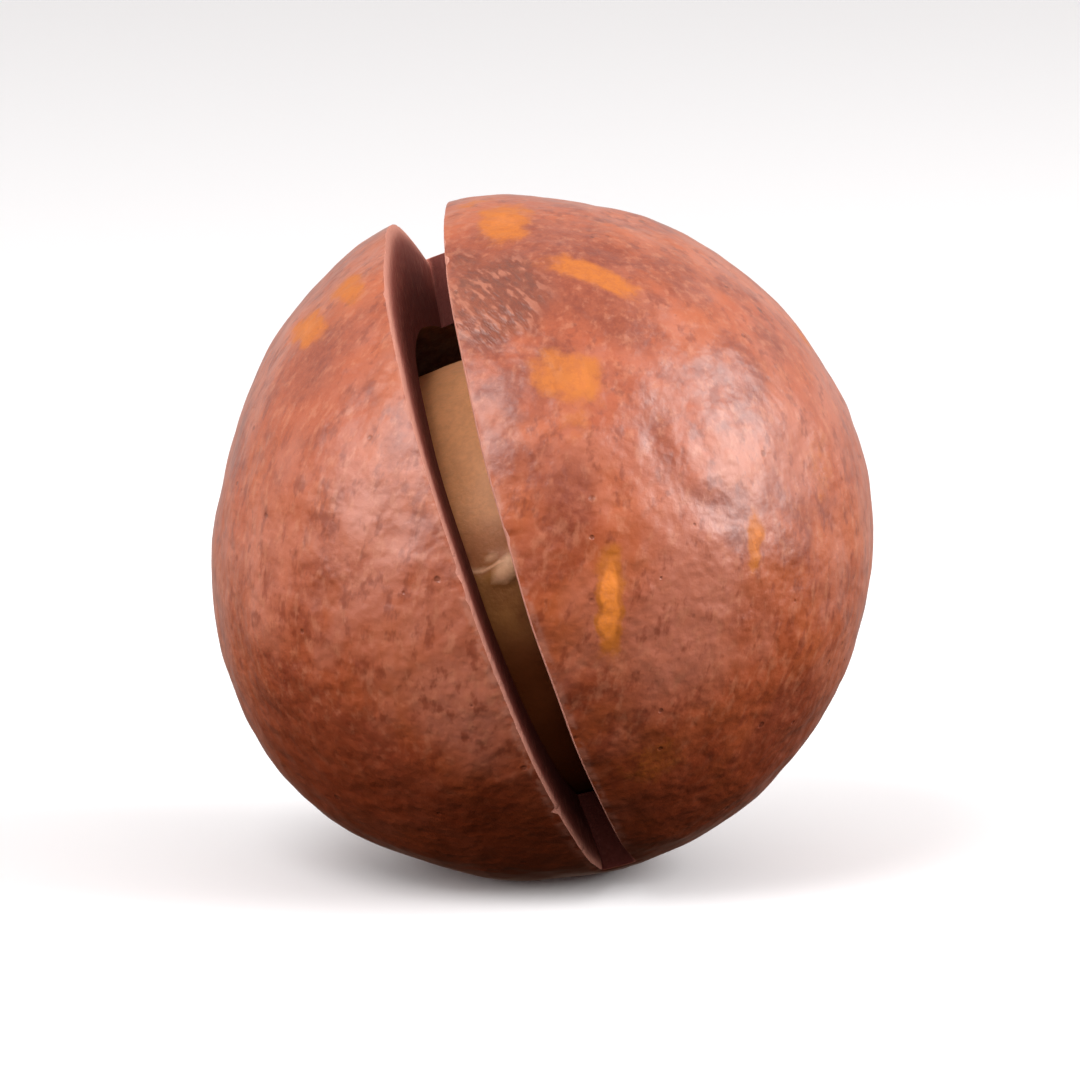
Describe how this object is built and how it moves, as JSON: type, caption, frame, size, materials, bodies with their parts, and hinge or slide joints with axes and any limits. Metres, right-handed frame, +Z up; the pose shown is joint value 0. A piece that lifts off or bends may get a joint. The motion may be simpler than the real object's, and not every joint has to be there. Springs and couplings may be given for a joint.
{
  "type": "macadamia nut in shell",
  "caption": "Roasted macadamia nut in its round brown shell, sawn part of the way round so that it cracks open, with the loose cream kernel showing inside the cut.",
  "frame": {"origin": "centre of the small flat spot that the nut rests on", "axes": "+Z up, away from the surface that the nut rests on; the open side of the saw cut faces -Y, the front; +X to the right seen from the front"},
  "size_m": [0.0244, 0.025, 0.0251],
  "materials": {
    "shell": "satin",
    "kernel": "satin"
  },
  "bodies": {
    "root": {"shell": "shell", "kernel": "kernel"}
  },
  "joints": []
}
